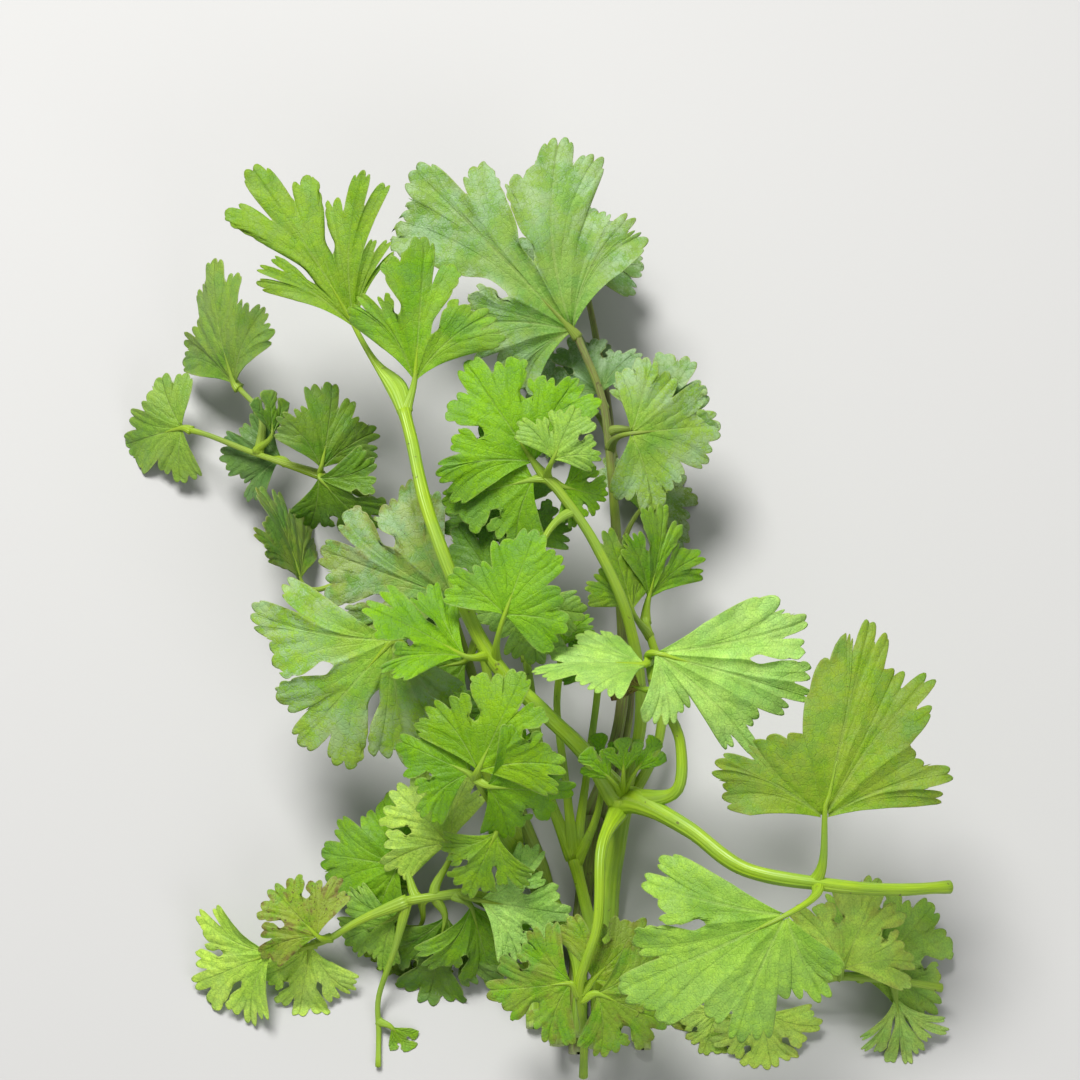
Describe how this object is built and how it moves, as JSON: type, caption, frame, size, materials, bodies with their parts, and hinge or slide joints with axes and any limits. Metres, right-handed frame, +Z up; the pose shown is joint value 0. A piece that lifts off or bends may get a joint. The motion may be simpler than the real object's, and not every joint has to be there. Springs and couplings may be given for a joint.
{
  "type": "coriander bunch",
  "caption": "Small cut bunch of fresh coriander lying on a surface, lobed and toothed leaves in a low spread over slender green stalks.",
  "frame": {"origin": "on the surface the bunch lies on, under the middle of its bounding box", "axes": "+Y from the cut ends towards the leafy tips, +X to the right seen from above with the tips away, +Z up"},
  "size_m": [0.2035, 0.2272, 0.0676],
  "materials": {
    "leaf_fresh": "satin",
    "leaf_grey": "satin",
    "leaf_bright": "satin",
    "leaf_deep": "satin",
    "leaf_yellowing": "satin",
    "stalk_green": "gloss"
  },
  "bodies": {
    "root": {"shoot_main": "leaf_fresh", "shoot_tall": "leaf_grey", "shoot_middle": "leaf_bright", "shoot_left": "leaf_deep", "shoot_broad": "leaf_grey", "shoot_centre": "leaf_bright", "shoot_front": "leaf_fresh", "shoot_right": "leaf_yellowing", "shoot_inner": "stalk_green"}
  },
  "joints": []
}
